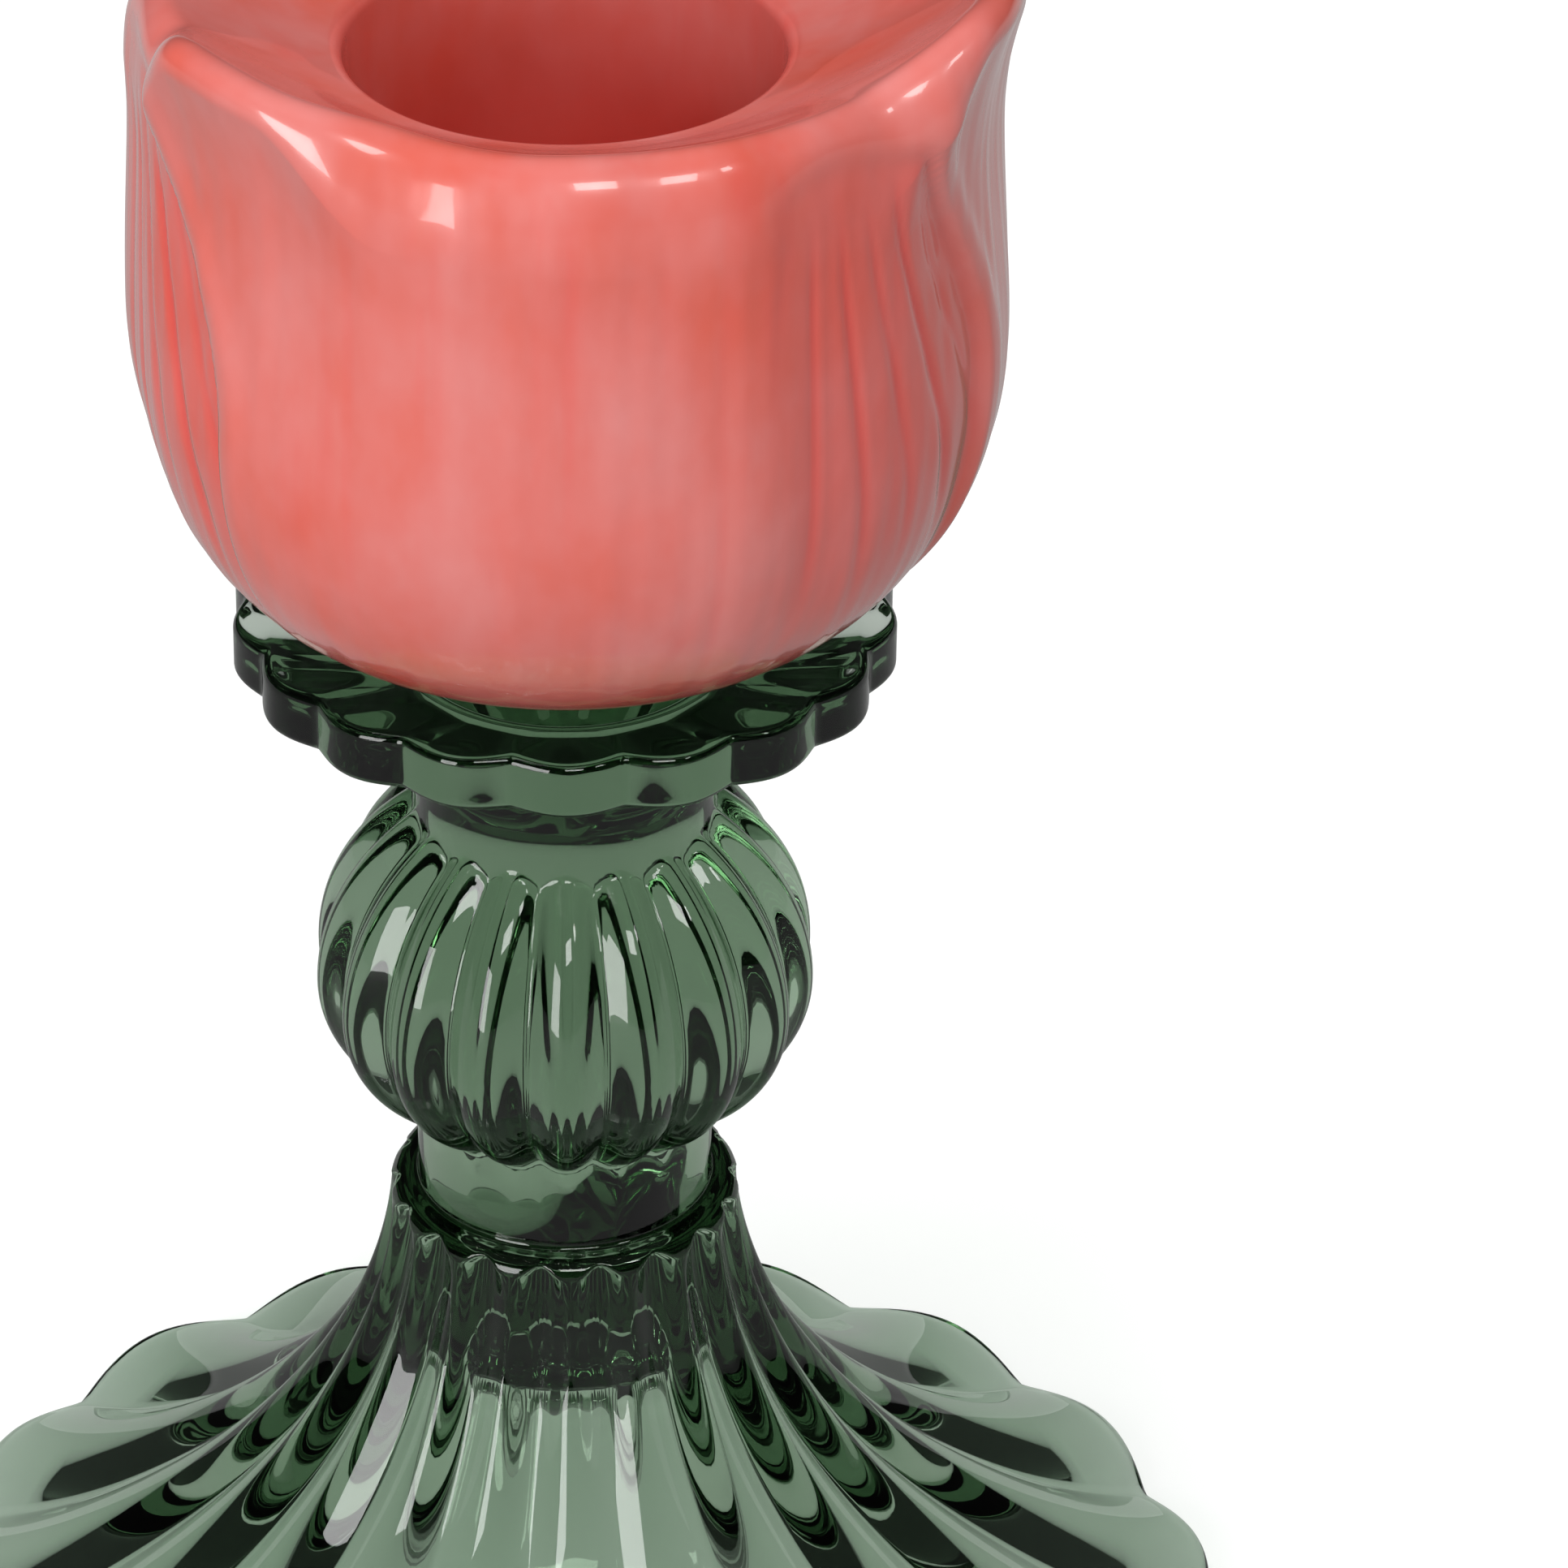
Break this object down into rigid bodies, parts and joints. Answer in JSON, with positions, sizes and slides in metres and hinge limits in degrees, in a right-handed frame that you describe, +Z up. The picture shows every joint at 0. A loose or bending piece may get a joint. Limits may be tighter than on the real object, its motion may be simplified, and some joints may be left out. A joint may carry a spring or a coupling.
{
  "type": "candlestick",
  "caption": "Short candlestick: a tulip-shaped cup for one dinner candle on a pressed-glass stem with a scalloped drip pan, a ribbed knop and a fluted flared foot.",
  "frame": {"origin": "centre of the circle that the foot rests on, at table level", "axes": "+Z up the stem towards the candle, -Y towards the front, +X to the right seen from the front"},
  "size_m": [0.0742, 0.075, 0.1082],
  "materials": {
    "green_glass": "clear green pressed glass, gloss",
    "coral_glaze": "gloss coral glaze, streaked",
    "clear_adhesive": "clear, cured"
  },
  "bodies": {
    "root": {"glass_base": "green_glass", "adhesive_pad": "clear_adhesive", "tulip_cup": "coral_glaze"}
  },
  "joints": []
}
